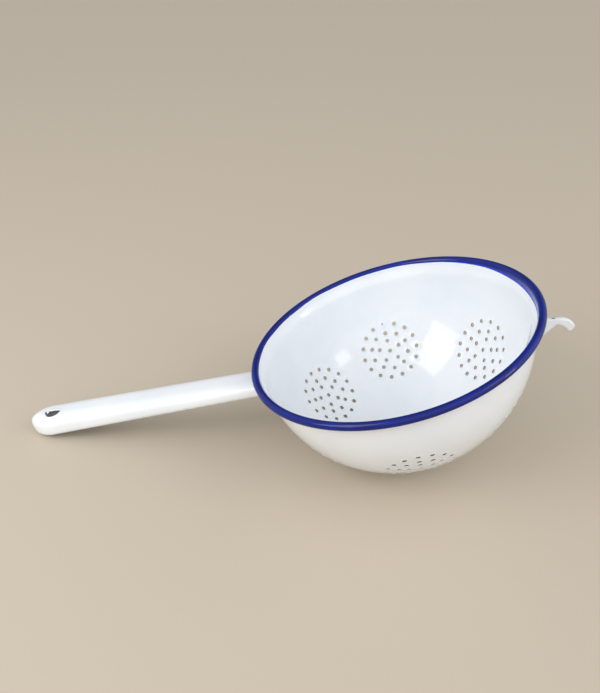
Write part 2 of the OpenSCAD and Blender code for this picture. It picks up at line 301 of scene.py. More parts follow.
def wall_at(r, z):
    """Distance from the axis of a round wall of radius r at height z: the sphere's own,
    plus the flare as a smooth step over the flared band."""
    return np.sqrt(r**2 - (z + CENTRE_DROP) ** 2) + FLARE * smooth((z + FLARE_H) / FLARE_H)


def about_axis(about, radius, z):
    return points(radius * np.cos(about), radius * np.sin(about), z)


def on_sphere(way, out):
    """The point a distance out beyond the bowl's inner radius in the direction way, with
    the sheet's dents."""
    p = way * (BOWL_R + np.asarray(out, float))[..., None]
    return p + way * uneven(p)[..., None] - np.array([0, 0, CENTRE_DROP])


def turn(axis, degrees):
    return np.array(Matrix.Rotation(math.radians(degrees), 3, axis))


def hole_frames():
    """For each drain hole a matrix whose third column is its direction from the sphere's
    centre: the group's turns, then the ring's own step and tilt, acting on straight down."""
    frames = []
    for about, up, spokes in GROUPS:
        group = turn("Z", about) @ turn("Y", -up) @ turn("Z", spokes)
        for radius, count in RINGS:
            tilt = math.degrees(math.asin(radius / BOWL_R))
            for i in range(count):
                hole = group @ turn("Z", 360 * i / count) @ turn("Y", -tilt)
                frames.append(hole @ np.diag([1.0, -1.0, -1.0]))
    return np.array(frames)


def around_holes(frames, radius, shift=0.0):
    """Directions on circles about the holes, whose radius is in mm at the inner wall, and
    which are shifted in their own plane."""
    a = np.arange(HOLE_SIDES) * 2 * np.pi / HOLE_SIDES
    r = np.broadcast_to(radius, (len(frames), HOLE_SIDES)) / BOWL_R
    local = points(np.sin(r) * np.cos(a), np.sin(r) * np.sin(a), np.cos(r))
    local[..., :2] += shift
    return unit(np.einsum("hij,hsj->hsi", frames, local))


def ring_of_ways(angle, count, shift=0.0):
    """Directions at one angle from straight down, evenly about the axis."""
    about = (np.arange(count) + shift) * 2 * np.pi / count
    return about_axis(about, math.sin(angle), -math.cos(angle))


def flat_map(way):
    """The map on which the wall is triangulated: the angle from straight down is the
    distance from the map's middle."""
    angle = np.arccos(np.clip(-way[..., 2], -1, 1))
    about = np.arctan2(way[..., 1], way[..., 0])
    return points(angle * np.cos(about), angle * np.sin(about)) * BOWL_R


def wall_net(frames):
    """Directions and triangles of the pierced wall: rings about the bottom, clear of the
    holes and of the upper edge, with the foot of each hole's lip left open."""
    net = [
        ring_of_ways(a, max(6, round(2 * np.pi * math.sin(a) * BOWL_R / NET)), 0.5 * (i % 2))
        for i, a in enumerate(np.arange(NET / 2, PIERCED_TO * BOWL_R - NET * 0.4, NET) / BOWL_R)
    ]
    net = np.concatenate(net)
    nearest = np.arccos(np.clip(net @ frames[:, :, 2].T, -1, 1)).min(axis=1) * BOWL_R
    net = net[nearest > LIP_FOOT + 1.3]
    border = ring_of_ways(PIERCED_TO, AROUND)
    feet = around_holes(frames, LIP_FOOT).reshape(-1, 3)
    ways = np.concatenate([border, net, feet])
    owner = np.full(len(ways), -1)
    owner[-len(feet) :] = np.repeat(np.arange(len(frames)), HOLE_SIDES)
    faces = triangles(flat_map(ways), [])
    a, b, c = owner[faces].T
    return ways, faces[(a < 0) | (a != b) | (a != c)]


def profile(s, thick):
    """Distance from the axis and height of the upper wall and the roll. s is the way along
    the inner face, 0 where the roll starts, and thick is the depth below that face: the
    wall's own radius below 0, and a circle about the middle of the roll above 0."""
    turned = np.pi - np.maximum(s, 0) / BEAD_R
    low = np.minimum(s, 0)
    r = np.where(s < 0, wall_at(BOWL_R, low) + thick, CURL_X + (BEAD_R - thick) * np.cos(turned))
    return r, np.where(s < 0, low, (BEAD_R - thick) * np.sin(turned))


def from_hook(about):
    """Angle between a turn about the bowl and the hook, to either side."""
    return np.abs((about + np.pi) % (2 * np.pi) - np.pi)


def hook_share(about):
    """How near a turn about the bowl is to the hook, from 1 there down to 0."""
    return np.exp(-((from_hook(about) / NEAR_HOOK) ** 2))


def coat_from(about):
    """Way along the inner face at which the blue coat starts, by the turn about the bowl:
    just over the roll's top, further down the inside next to the hook, and a little wavy."""
    ripple = 0.22 * np.sin(9 * about + 0.7) + 0.16 * np.sin(17 * about + 2.0)
    wavy = np.exp(-(((from_hook(about) - WAVY_AT) / WAVY_SPREAD) ** 2))
    return COAT_START - COAT_DEEPER * hook_share(about) + ripple * (0.5 + 1.6 * wavy)


def bore_steps():
    """A hole from its lip inside, through the sheet, to its lip outside: the width beyond
    the bore, the depth in the sheet, the shares of the rise of the lip inside, counted down,
    and of the lip outside, and the thin_and_shade value, which greys and darkens the bore
    as the thin enamel of the punched edge and as painted shade inside the bore."""
    return [
        (0.95, 0.0, -0.75, 0.0, 0.0),
        (0.5, 0.0, -1.0, 0.0, 0.0),
        (0.12, 0.08, 0.0, 0.0, 0.3),
        (0.0, 0.45, 0.0, 0.0, 1.0),
        (0.0, WALL - 0.45, 0.0, 0.0, 1.0),
        (0.12, WALL - 0.1, 0.0, 0.0, 0.5),
        (0.45, WALL, 0.0, 1.0, 0.0),
        (0.9, WALL, 0.0, 0.5, 0.0),
    ]


def make_bowl(enamel):
    shell = Shell()
    frames = hole_frames()
    ways, faces = wall_net(frames)
    for out in (0.0, WALL):
        shell.add(on_sphere(ways, np.full(len(ways), out)), faces)

    draws = np.random.default_rng(11)
    bore = HOLE_R * (1 + draws.uniform(-0.05, 0.05, (len(frames), 1)))
    bore = bore * (1 + 0.03 * draws.standard_normal((len(frames), HOLE_SIDES)))
    bore[FILLED] *= FILLED_SHARE
    shift = np.zeros((len(frames), 1, 2))
    shift[FILLED] = (FILLED_SHIFT @ frames[FILLED])[:2] / BOWL_R
    foot = around_holes(frames, LIP_FOOT)
    level = np.zeros(bore.shape)
    lip_in = level + LIP_INSIDE
    lip_in[FILLED] += FILLED_LUMP
    lip_out = level + LIP_OUTSIDE
    lip_out[: sum(count for _, count in RINGS)] = LIP_BOTTOM
    steps = bore_steps()
    rows = [
        on_sphere(around_holes(frames, bore + wide, shift), level + out + a * lip_in + b * lip_out)
        for wide, out, a, b, _ in steps
    ]
    rows = [on_sphere(foot, level), *rows, on_sphere(foot, level + WALL)]
    # The bore's dark is the thin enamel of the punched edge together with painted shade inside the
    # bore.
    thin_and_shade = np.array([0.0, *[step[-1] for step in steps], 0.0])[:, None]
    for hole in np.stack(rows, axis=1):
        shell.grid(hole, thin_and_shade, closed=True)

    # Upper wall and roll, up the inside, round the cut end of the roll and down the outside
    about = np.arange(AROUND) * 2 * np.pi / AROUND
    low = -(BOWL_R * math.cos(PIERCED_TO) + CENTRE_DROP)
    wall_s = np.concatenate([np.linspace(low, -FLARE_H, 8)[:-1], np.linspace(-FLARE_H, 0, 17)])
    roll_s = np.radians(np.linspace(0, 180 + CURL_END, 34))[1:] * BEAD_R
    s = np.concatenate([wall_s, roll_s])[:, None]
    r, z = profile(s, COAT * smooth((s - coat_from(about)) / 0.9))
    inside = about_axis(about, r + dent(about, r, z), z)
    r, z = profile(roll_s[::-1, None], WALL)
    roll_back = about_axis(about, r, z)
    z = wall_s[::-1, None]
    r = wall_at(BOWL_OUT, z)
    outside = about_axis(about, r + dent(about, r, z), z)
    edge = ring_of_ways(PIERCED_TO, AROUND)
    inside[0] = on_sphere(edge, np.zeros(AROUND))
    outside[-1] = on_sphere(edge, np.full(AROUND, WALL))
    shell.grid(np.concatenate([inside, roll_back, outside]), closed=True)
    return shell.piece("enamelled_bowl", enamel, "white_enamel", "bowl")


def dent(about, r, z):
    """The sheet's dents on the upper wall, which fade out towards the rim."""
    return uneven(about_axis(about, r, z + CENTRE_DROP)) * smooth(-z / 20)


def make_rim(enamel):
    """The blue coat: from its wavy start along the wall and the roll to the roll's end,
    swelling over its first half millimetre, and back on its underside."""
    shell = Shell()
    about = np.arange(2 * AROUND) * np.pi / AROUND
    start = coat_from(about)
    end = math.radians(180 + CURL_END) * BEAD_R
    share = np.concatenate([np.linspace(0, 0.12, 9)[:-1], np.linspace(0.12, 1, 44)])[:, None]
    s = start + share * (end - start)
    swell = np.sqrt(np.clip((s - start) / 0.5, 0, 1) * np.clip((end - s) / 0.4, 0, 1))
    r, z = profile(s, COAT * (1 - swell) * smooth((s - start) / 0.9))
    outer = about_axis(about, r - 0.03 * swell * smooth(-s / 1.5), z)
    back = s[::-3]
    r, z = profile(back, COAT + 0.25)
    inner = about_axis(about, r, z)
    thin_and_shade = 1 - smooth((s - start) / (COAT_THIN + COAT_THIN_HOOK * hook_share(about)))
    thin_and_shade = np.concatenate([thin_and_shade, np.zeros(back.shape), thin_and_shade[:1]])
    shell.grid(np.concatenate([outer, inner, outer[:1]]), thin_and_shade, closed=True)
    return shell.piece("rim_enamel", enamel, "blue_enamel", "rim_band")


# Handle: points are (l, y, h), with l along its base line from the bowl and h square to it


def at_handle(p):
    c, s = math.cos(HANDLE_RISE), math.sin(HANDLE_RISE)
    l, y, h = p[..., 0], p[..., 1], p[..., 2]
    return points(-ROOT_X - l * c + h * s, y, -HANDLE_DROP + l * s + h * c)


def crown(l, y):
    """Height and outward direction of the crown over the plan point (l, y). With U the
    share of the way from the middle to the outline, which is straight along the sides and
    a super-ellipse round the end, the height is the crown's own times (1 - U^n)^(1/n)."""
    k = np.maximum(l - END_START, 0) / END_L
    q = np.abs(y) / HALF_W
    share = (q**END_ROUND + k**END_ROUND) ** (1 / END_ROUND)
    share = np.clip(share, 1e-9, 1)
    rise = CROWN_ROOT + (CROWN_TIP - CROWN_ROOT) * l / HANDLE_L
    up = (1 - share**SQUARE) ** (1 / SQUARE)
    flat = share ** (SQUARE - 1)
    l_part = flat * (k / share) ** (END_ROUND - 1) / END_L
    y_part = flat * (q / share) ** (END_ROUND - 1) / HALF_W * np.sign(y)
    return rise * up, unit(points(l_part, y_part, up ** (SQUARE - 1) / rise))


def section_shares():
    """Shares U across the crown, from its middle to its edge, on U^n + V^n = 1: even steps
    of U up to the corner, then even steps of V. Also gives the corner's place in the list."""
    corner = 0.5 ** (1 / SQUARE)
    u = np.linspace(0, corner, 10)
    v = np.linspace(corner, 0, 11)[1:]
    return np.concatenate([u, (1 - v**SQUARE) ** (1 / SQUARE)]), len(u) - 1


SHARES, CORNER = section_shares()
LIP_TURNS = np.radians(np.linspace(0, 90, 8))[1:]
HALF = len(SHARES) - 1 + len(LIP_TURNS)
LEFT, RIGHT = HALF - CORNER, HALF + CORNER


def half_sections(l, l_way, y_way):
    """Points and outward directions from the middle of the crown at (l, 0), along the plan
    direction (l_way, y_way) to the outline, and round the lip that turns in below it."""
    l_top = l[:, None] + SHARES * l_way[:, None] * END_L
    y_top = SHARES * y_way[:, None] * HALF_W
    h_top, n_top = crown(l_top, y_top)
    l_edge = l_way[:, None] ** (END_ROUND - 1) / END_L
    y_edge = np.abs(y_way[:, None]) ** (END_ROUND - 1) / HALF_W * np.sign(y_way[:, None])
    long = np.hypot(l_edge, y_edge)
    l_edge, y_edge = l_edge / long, y_edge / long
    back = HANDLE_LIP * (1 - np.cos(LIP_TURNS))
    lip = points(
        l_top[:, -1:] - back * l_edge, y_top[:, -1:] - back * y_edge, -HANDLE_LIP * np.sin(LIP_TURNS)
    )
    n_lip = points(l_edge * np.cos(LIP_TURNS), y_edge * np.cos(LIP_TURNS), -np.sin(LIP_TURNS))
    top = points(l_top, y_top, h_top)
    return np.concatenate([top, lip], axis=1), np.concatenate([n_top, n_lip], axis=1)


def sections(l):
    """Whole sections of the straight body at the distances l, from lip to lip."""
    l = np.asarray(l, float)
    none, full = np.zeros(len(l)), np.ones(len(l))
    left, right = half_sections(l, none, -full), half_sections(l, none, full)
    return tuple(np.concatenate([a[:, :0:-1], b], axis=1) for a, b in zip(left, right))


def bowl_face(y, h):
    """Distance along the handle's base line of the bowl's outer face, beside and above it."""
    r = wall_at(BOWL_OUT, h * math.cos(HANDLE_RISE) - HANDLE_DROP)
    return np.sqrt(r**2 - y**2) - ROOT_X + h * math.sin(HANDLE_RISE) + SEAT


def rows_from_bowl(l, w, push):
    """Sections at the distances l, pushed along their outward directions, whose distance w
    counts from the bowl's round face near the bowl and from the root further out."""
    p, n = sections(l)
    p = p + n * np.asarray(push, float)[..., None]
    w = np.asarray(w, float)[:, None]
    free = smooth((w - FOOT_R - SHEET) / (FREE_L - FOOT_R - SHEET))
    y, h = p[..., 1], p[..., 2]
    return points(w + (1 - free) * bowl_face(y, h), y, h)


CAP_ROWS = 9
CAP_L = 184.0
NEAR_L = [5.0, 6.5, 8.5, 11, 14, 18, 23, 28]
BODY_L = [NEAR_L, np.linspace(FREE_L, CAP_L, 20), np.linspace(CAP_L, END_START, CAP_ROWS)[1:]]
BODY_L = np.concatenate(BODY_L)


def skin(push, foot_at, fillet_r):
    """One skin of the handle: the foot on the bowl, the fillet that turns it into the
    handle, the body, and the rays round the end. The outer skin has push 0, and the inner
    one is pushed in by the sheet."""
    _, n = sections([0.0])
    reach = FOOT_R + FOOT_W + (FOOT_TOP_W - FOOT_W) * np.maximum(n[0, :, 2], 0)
    spread = np.linspace(1, 0, 6)[:-1, None]
    foot = rows_from_bowl([0.0] * 5, [foot_at] * 5, FOOT_R + (reach - FOOT_R) * spread)
    turned = np.radians(np.linspace(90, 0, 9))
    w = foot_at + fillet_r * (1 - np.sin(turned))
    fillet = rows_from_bowl([0.0] * 9, w, (FOOT_R - fillet_r * np.cos(turned))[:, None])
    body = rows_from_bowl(BODY_L, BODY_L, np.full((len(BODY_L), 1), push))
    t = np.linspace(np.pi / 2, -np.pi / 2, 33)[1:-1]
    reach = (np.cos(t) ** END_ROUND + np.abs(np.sin(t)) ** END_ROUND) ** (-1 / END_ROUND)
    rays, n = half_sections(np.full(len(t), END_START), reach * np.cos(t), -reach * np.sin(t))
    return np.concatenate([foot, fillet, body]), rays + n * push


def eye_ring(out):
    """Plan outline of the punched eye, a distance out over its lip: a smooth curve through
    the eye's places, which turns into the oval foot of the lip."""
    t = np.radians(EYE_TURNS)
    foot = points((EYE_L / 2 + EYE_FOOT) * np.cos(t), (EYE_W / 2 + EYE_FOOT) * np.sin(t))
    both = np.concatenate([EYE_PLACES, foot], axis=1)
    a, b, c, d = (np.roll(both, step, axis=0)[:, None] for step in (1, 0, -1, -2))
    u = np.arange(EYE_SPAN)[:, None] / EYE_SPAN
    curve = (c - a) * u + (2 * a - 5 * b + 4 * c - d) * u**2 + (3 * b - a - 3 * c + d) * u**3
    curve = (b + curve / 2).reshape(-1, 4)
    return curve[:, :2] + (curve[:, 2:] - curve[:, :2]) * out / EYE_FOOT + EYE_AT


def inside_eye(p):
    """Whether plan points lie inside the foot of the eye's lip, with a margin in mm."""
    ring, off = eye_ring(EYE_FOOT) - EYE_AT, p - EYE_AT
    at = np.arctan2(ring[:, 1], ring[:, 0])
    order = np.argsort(at)
    span = np.linalg.norm(ring, axis=1)[order]
    limit = np.interp(np.arctan2(off[:, 1], off[:, 0]), at[order], span, period=2 * np.pi)
    return limit - np.linalg.norm(off, axis=1)


def crown_point(plan, push):
    height, normal = crown(plan[..., 0], plan[..., 1])
    return at_handle(points(plan[..., 0], plan[..., 1], height) + normal * push)


def cap_border(rows, rays):
    """The border of the crown's end: its first row, and the corner of the section once
    round the end."""
    side = rows[-CAP_ROWS:]
    return np.concatenate(
        [side[0, LEFT : RIGHT + 1], side[1:, RIGHT], rays[::-1, CORNER], side[:0:-1, LEFT]]
    )


def cap_net(border):
    """Plan points and triangles of the crown's end, with the foot of the eye left open."""
    gap = 1.9
    first = border[0, 0]
    l, y = np.meshgrid(np.arange(first + gap, HANDLE_L, gap), np.arange(-HALF_W, HALF_W, gap))
    net = points(l.ravel(), y.ravel())
    k = np.maximum(net[:, 0] - END_START, 0) / END_L
    q = np.abs(net[:, 1]) / HALF_W
    share = (q**END_ROUND + k**END_ROUND) ** (1 / END_ROUND)
    net = net[(share < SHARES[CORNER] - 0.06) & (inside_eye(net) < -0.9)]
    plan = np.concatenate([border[:, :2], eye_ring(EYE_FOOT), net])
    edges = loop_edges(0, len(border)) + loop_edges(len(border), EYE_SIDES)
    faces = triangles(plan, edges)
    return plan, faces[inside_eye(plan[faces].mean(axis=1)) < 0]


def eye_steps():
    """The eye from the foot of its lip, over the lip, through the sheet, to the inner skin:
    the width beyond the outline, the height over the crown and the thin_and_shade value:
    thin enamel at the punched edge together with painted shade in the bore, and painted
    shade of the hollow where it meets the inner skin."""
    return [
        (EYE_FOOT, 0.0, 0.0),
        (1.8, 0.28, 0.0),
        (1.1, 0.42, 0.0),
        (0.5, 0.3, 0.0),
        (0.12, -0.05, 0.1),
        (0.0, -0.45, 0.8),
        (0.0, -1.0, 1.0),
        (0.3, -1.35, 0.8),
        (1.2, -SHEET - 0.05, 0.5),
        (EYE_FOOT, -SHEET, 0.4),
    ]


def make_handle(enamel):
    shell = Shell()
    skins = [skin(0.0, SHEET, FOOT_R), skin(-SHEET, 0.0, FOOT_R + SHEET)]
    plan, faces = cap_net(cap_border(*skins[0]))
    # The inner skin is set to 0.4, a grey that is painted shade of the handle's hollow underside.
    for (rows, rays), push, thin_and_shade in zip(skins, (0.0, -SHEET), (0.0, 0.4)):
        shell.grid(at_handle(rows[: 1 - CAP_ROWS]), thin_and_shade)
        side = rows[-CAP_ROWS:]
        ring = [side[:, LEFT::-1], rays[:, CORNER:], side[::-1, RIGHT:]]
        shell.grid(at_handle(np.concatenate(ring)), thin_and_shade)
        border = at_handle(cap_border(rows, rays))
        cap = crown_point(plan, push)
        cap[: len(border)] = border
        shell.add(cap, faces, thin_and_shade)
    eye = np.array([crown_point(eye_ring(out), rise) for out, rise, _ in eye_steps()])
    shell.grid(eye, np.array([t for _, _, t in eye_steps()])[:, None], closed=True)

    # The cut edge of the sheet, rounded, once round the foot, the lips and the end
    loops = [np.concatenate([a[0], a[1:, -1], b[::-1, -1], a[:0:-1, 0]]) for a, b in skins]
    behind = [np.concatenate([a[1], a[1:, -2], b[::-1, -2], a[:0:-1, 1]]) for a, b in skins]
    away = unit(sum(loops) - sum(behind)) * CUT_BULGE
    turned = np.radians(np.linspace(0, 180, 5))[:, None, None]
    edge = (loops[0] + loops[1]) / 2 + (loops[0] - loops[1]) / 2 * np.cos(turned)
    edge = edge + away * np.sin(turned)
    shell.grid(at_handle(edge), np.array([0.3, 1, 1, 1, 0.4])[:, None], closed=True)
    return shell.piece("handle_shell", enamel, "white_enamel", "handle")


# Hook


def arc(x, z, r, start, stop, steps):
    a = np.linspace(start, stop, steps)
    return points(x + r * np.cos(a), z + r * np.sin(a))


def line(start, stop, steps):
    return np.array(start) + (np.array(stop) - np.array(start)) * np.linspace(0, 1, steps)[:, None]


def tangent(x, middle, radius, slope):
    """Height at x of the line of that slope that touches a circle's upper side."""
    return middle[1] + (radius + (middle[0] - x) * math.sin(slope)) / math.cos(slope)


def hook_paths():
    """The folded top edge and the open lower edge of the hook in its own plane, station by
    station: along the slope and over the outer edge to the tip, and up from the bowl,
    over the saddle and down to the tip, with a straight underside that touches both rounds."""
    tip = (HOOK_REACH - HOOK_TIP_R, -HOOK_LOW + HOOK_TIP_R)
    apart = HOOK_CORNER - HOOK_TIP_R
    meet = math.asin((tip[1] + HOOK_TOP + HOOK_CORNER) / apart)
    corner = (tip[0] - apart * math.cos(meet), -HOOK_TOP - HOOK_CORNER)
    over = arc(*corner, HOOK_CORNER, math.pi / 2 - HOOK_SLOPE, meet, 9)
    root = np.array([BOWL_R, tangent(BOWL_R, corner, HOOK_CORNER, HOOK_SLOPE)])
    knee = root + (over[0] - root) * KNEE_SHARE
    nose = arc(*tip, HOOK_TIP_R, meet, NOSE_END, 9)
    top = [line(root, knee, 12), line(knee, over[0], 7)[1:], over[1:], nose]
    middle = (SADDLE_REACH, -SADDLE_LOW - SADDLE_R)
    across = math.hypot(tip[0] - middle[0], tip[1] - middle[1])
    under = math.atan2(tip[1] - middle[1], tip[0] - middle[0])
    under += math.acos((HOOK_TIP_R + SADDLE_R) / across)
    saddle = arc(*middle, SADDLE_R, math.pi / 2 + WEB_SLOPE, under, 7)
    below = arc(*tip, HOOK_TIP_R, under - math.pi, BELOW_END, 6)
    web_x = BOWL_R - WEB_IN
    web = np.array([web_x, tangent(web_x, middle, SADDLE_R, -WEB_SLOPE)])
    low = [line(web, saddle[0], 12), saddle[1:], line(saddle[-1], below[0], 13)[1:], below[1:]]
    return np.concatenate(top), np.concatenate(low)


def fold(half_w, depth, radius, height):
    """Section of a folded sheet from one lower edge over the fold to the other, as places
    across and distances below the top: a straight side, a quarter circle and the flat top."""
    turned = np.radians(np.linspace(0, 90, BEND_STEPS))
    side = np.array([1, 0.7, 0.4, 0.12]) * (height - depth - radius) + depth + radius
    bend = half_w - radius * (1 - np.cos(turned))
    across = np.concatenate([np.broadcast_to(half_w, side.shape), bend, half_w * 0])
    down = np.concatenate([side, depth + radius * (1 - np.sin(turned)), depth + half_w * 0])
    return points(np.concatenate([across, -across[-2::-1]]), np.concatenate([down, down[-2::-1]]))


def make_hook(enamel):
    shell = Shell()
    top, low = hook_paths()
    height = np.linalg.norm(top - low, axis=1)
    way = unit(top - low)
    outer, inner, edge = [], [], []
    for tall in height:
        radius = min(HOOK_FOLD, 0.5 * tall)
        sheet = min(HOOK_T, 0.75 * tall)
        half = np.array([HOOK_W / 2])
        outer.append(fold(half, 0.0, radius, tall))
        inner.append(fold(half - HOOK_T, sheet, 0.15, tall))
        edge.append([[HOOK_W / 2 - HOOK_T / 2, tall + 0.25], [HOOK_T / 2 - HOOK_W / 2, tall + 0.25]])
    outer, inner, edge = np.array(outer), np.array(inner), np.array(edge)
    loop = np.concatenate([edge[:, :1], outer, edge[:, 1:], inner[:, ::-1]], axis=1)
    at = top[:, None] - way[:, None] * loop[..., 1:]
    p = points(at[..., 0], loop[..., 0], at[..., 1])
    off = np.linalg.norm(p + np.array([0, 0, CENTRE_DROP]), axis=-1) - BOWL_OUT - HOOK_T
    p[..., 1] += np.sign(p[..., 1]) * SPLAY * np.clip(1 - off / SPLAY_REACH, 0, 1) ** 2
    n = outer.shape[1]
    thin_and_shade = np.zeros(loop.shape[:2])
    thin_and_shade[:, [0, n + 1]] = 1.0
    thin_and_shade[:, [1, n]] = 0.55
    # The channel's inner faces at 0.5 are grey painted shade of its hollow; the cut edges and their
    # neighbours are thin enamel.
    thin_and_shade[:, n + 2 :] = 0.5
    ridge = 1 + n // 2
    thin_and_shade[BARE_TOP, ridge : ridge + 2] = 1.0
    thin_and_shade[GREY_TOP, ridge + 1] = 0.5
    thin_and_shade[THIN_EDGE, ridge + BEND_STEPS] = 0.5
    shell.grid(p, thin_and_shade, closed=True)
    for end in (p[0], p[-1]):
        strip = np.stack([end[1 : n + 1], end[:-n-1:-1]])
        shell.grid(strip, 0.3)
        shell.add(np.array([end[0], end[1], end[-1]]), [[0, 1, 2]], 0.5)
        shell.add(np.array([end[n + 1], end[n], end[n + 2]]), [[0, 1, 2]], 0.5)
    ear(shell)
    return shell.piece("hook_shell", enamel, "white_enamel", "hook")


def ear(shell):
    """The two feet of the hook, as one round-cornered plate on the bowl: a super-ellipse
    from its middle out, with a rounded edge, and back on its sunk underside."""
    a = np.arange(64) * 2 * np.pi / 64
    corner = (np.abs(np.cos(a)) ** 5 + np.abs(np.sin(a)) ** 5) ** (-1 / 5)
    flat = [(0, 1), (0.3, 1), (0.6, 1), (0.85, 1)]
    edge = [(0.93, 0.95), (0.975, 0.75), (1, 0.35), (1, 0)]
    under = [(0.98, -0.4), (0.5, -0.4), (0, -0.4)]
    share, rise = np.array(flat + edge + under).T[..., None]
    y = share * corner * np.cos(a) * EAR_W / 2
    z = EAR_MID + share * corner * np.sin(a) * EAR_H / 2
    x = np.sqrt((BOWL_OUT + HOOK_T * rise) ** 2 - y**2 - (z + CENTRE_DROP) ** 2)
    shell.grid(points(x, y, z), 0.25 * (share > 0.95), closed=True)


def weld_angle(length):
    """The angle in degrees at the sphere's middle for a length square to its base line."""
    return math.degrees(math.asin(length / BOWL_OUT))


def make_welds(name, enamel, node, turns, drops, sheet):
    """Spot welds under their enamel: a low round dome on the foot for each pair of a turn
    about the bowl and an angle below its centre, with a smooth step down to its edge."""
    shell = Shell()
    share = np.array([0, 0.25, 0.4, 0.55, 0.7, 0.85, 1.0, 1.0, 0.5, 0])[:, None]
    rise = sheet + WELD_PROUD * (1 - smooth((share - 0.2) / 0.8))
    rise[-3:] = sheet - 0.5
    a = np.arange(24) * 2 * np.pi / 24
    r = share * WELD_FOOT / BOWL_OUT
    local = points(np.sin(r) * np.cos(a), np.sin(r) * np.sin(a), np.cos(r) + 0 * a)
    for about, drop in zip(turns, drops):
        way = local @ (turn("Z", about) @ turn("Y", 90 + drop)).T
        p = way * (BOWL_OUT + rise)[..., None] - np.array([0, 0, CENTRE_DROP])
        shell.grid(p, 0.0, closed=True)
    return shell.piece(name, enamel, "white_enamel", node)


# Materials


class Value:
    """A shader's number socket, on which arithmetic builds Math nodes."""

    def __init__(self, recipe, socket):
        self.recipe, self.socket = recipe, socket

    def math(self, operation, *terms):
        inputs = {i: t for i, t in enumerate(terms)}
        node = self.recipe.node("ShaderNodeMath", {"operation": operation}, inputs)
        return Value(self.recipe, node.outputs[0])

    def __add__(self, other):
        return self.math("ADD", self, other)

    def __sub__(self, other):
        return self.math("SUBTRACT", self, other)

    def __rsub__(self, other):
        return self.math("SUBTRACT", other, self)

    def __mul__(self, other):
        return self.math("MULTIPLY", self, other)

    def above(self, level, width):
        """0 below the level and 1 from a width above it, with a smooth step between."""
        settings = {"interpolation_type": "SMOOTHSTEP"}
        inputs = {"Value": self, "From Min": level, "From Max": level + width}
        node = self.recipe.node("ShaderNodeMapRange", settings, inputs)
        return Value(self.recipe, node.outputs[0])

    __radd__ = __add__
    __rmul__ = __mul__


class Recipe:
    """A node tree, and the few kinds of node that this object's finishes need."""

    def __init__(self, tree):
        self.tree = tree
        tree.nodes.clear()

    def node(self, kind, settings, inputs):
        """A node of that kind, with its settings set first and then its sockets' values
        or links."""
        made = self.tree.nodes.new(kind)
        for name, setting in settings.items():
            setattr(made, name, setting)
        for key, given in inputs.items():
            if isinstance(given, Value):
                given = given.socket
            if isinstance(given, bpy.types.NodeSocket):
                self.tree.links.new(given, made.inputs[key])
            else:
                made.inputs[key].default_value = given
        return made

    def noise(self, scale, detail=2.0, rough=0.5):
        place = self.node("ShaderNodeTexCoord", {}, {}).outputs["Object"]
        inputs = {"Vector": place, "Scale": scale, "Detail": detail, "Roughness": rough}
        return Value(self, self.node("ShaderNodeTexNoise", {}, inputs).outputs["Fac"])

    def mix(self, share, a, b):
        node = self.node("ShaderNodeMix", {"data_type": "RGBA"}, {0: share, 6: a, 7: b})
        return node.outputs[2]

    def thin_and_shade(self):
        node = self.node("ShaderNodeAttribute", {"attribute_name": "thin_and_shade"}, {})
        return Value(self, node.outputs["Fac"])

    def bump(self, height, distance):
        node = self.node("ShaderNodeBump", {}, {"Height": height, "Distance": distance})
        return node.outputs[0]


def material(name):
    made = bpy.data.materials.new(name)
    made.use_nodes = True
    return made, Recipe(made.node_tree)


def finish_material(recipe, inputs):
    surface = recipe.node("ShaderNodeBsdfPrincipled", {}, inputs)
    recipe.node("ShaderNodeOutputMaterial", {}, {"Surface": surface.outputs[0]})


WHITE = (0.835, 0.86, 0.885, 1)
WHITE_DEEP = (0.80, 0.83, 0.862, 1)
# The thin-enamel grey and the ground-coat dark below also serve as painted shade in the hollows and
# bores.
THIN_GREY_AND_SHADE = (0.42, 0.45, 0.49, 1)
GROUND_COAT_AND_SHADE = (0.03, 0.034, 0.042, 1)
BLUE = (0.001, 0.008, 0.15, 1)
BLUE_LIGHT = (0.001, 0.013, 0.21, 1)
BLUE_THIN = (0.004, 0.03, 0.55, 1)


def white_enamel():
    """Fired white enamel: faint clouds, grey where it is thin, and the dark ground coat
    where it has drawn back from a cut edge; the same grey and dark are also painted shade
    inside the hollow handle and hook and in the bores; a soft unevenness of the gloss."""
    made, r = material("white_enamel_fired")
    thin_and_shade = r.thin_and_shade()
    ragged = thin_and_shade + (r.noise(420, 3) - 0.5) * 0.7
    bare_and_shade = ragged.above(0.62, 0.3)
    grey_and_shade = ragged.above(0.05, 0.6)
    colour = r.mix(r.noise(26, 3).above(0.35, 0.35), WHITE, WHITE_DEEP)
    colour = r.mix(grey_and_shade * 0.55, colour, THIN_GREY_AND_SHADE)
    colour = r.mix(bare_and_shade * 0.92, colour, GROUND_COAT_AND_SHADE)
    rough = 0.07 + r.noise(60, 2) * 0.05 + bare_and_shade * 0.2
    height = r.noise(120, 2) + r.noise(700, 2) * 0.1
    normal = r.bump(height, 0.00004)
    finish_material(r, {"Base Color": colour, "Roughness": rough, "Normal": normal, "IOR": 1.53})
    return made


def blue_enamel():
    """Fired cobalt enamel: deep blue where it is thick, and bright along its thin start over
    the white."""
    made, r = material("blue_enamel_fired")
    thin_and_shade = r.thin_and_shade() + (r.noise(300, 2) - 0.5) * 0.3
    colour = r.mix(r.noise(40, 3).above(0.4, 0.3), BLUE, BLUE_LIGHT)
    colour = r.mix(thin_and_shade.above(0.35, 0.5), colour, BLUE_THIN)
    rough = 0.02 + r.noise(80, 2) * 0.03
    normal = r.bump(r.noise(110, 2), 0.00002)
    finish_material(r, {"Base Color": colour, "Roughness": rough, "Normal": normal, "IOR": 1.4})
    return made


# Studio


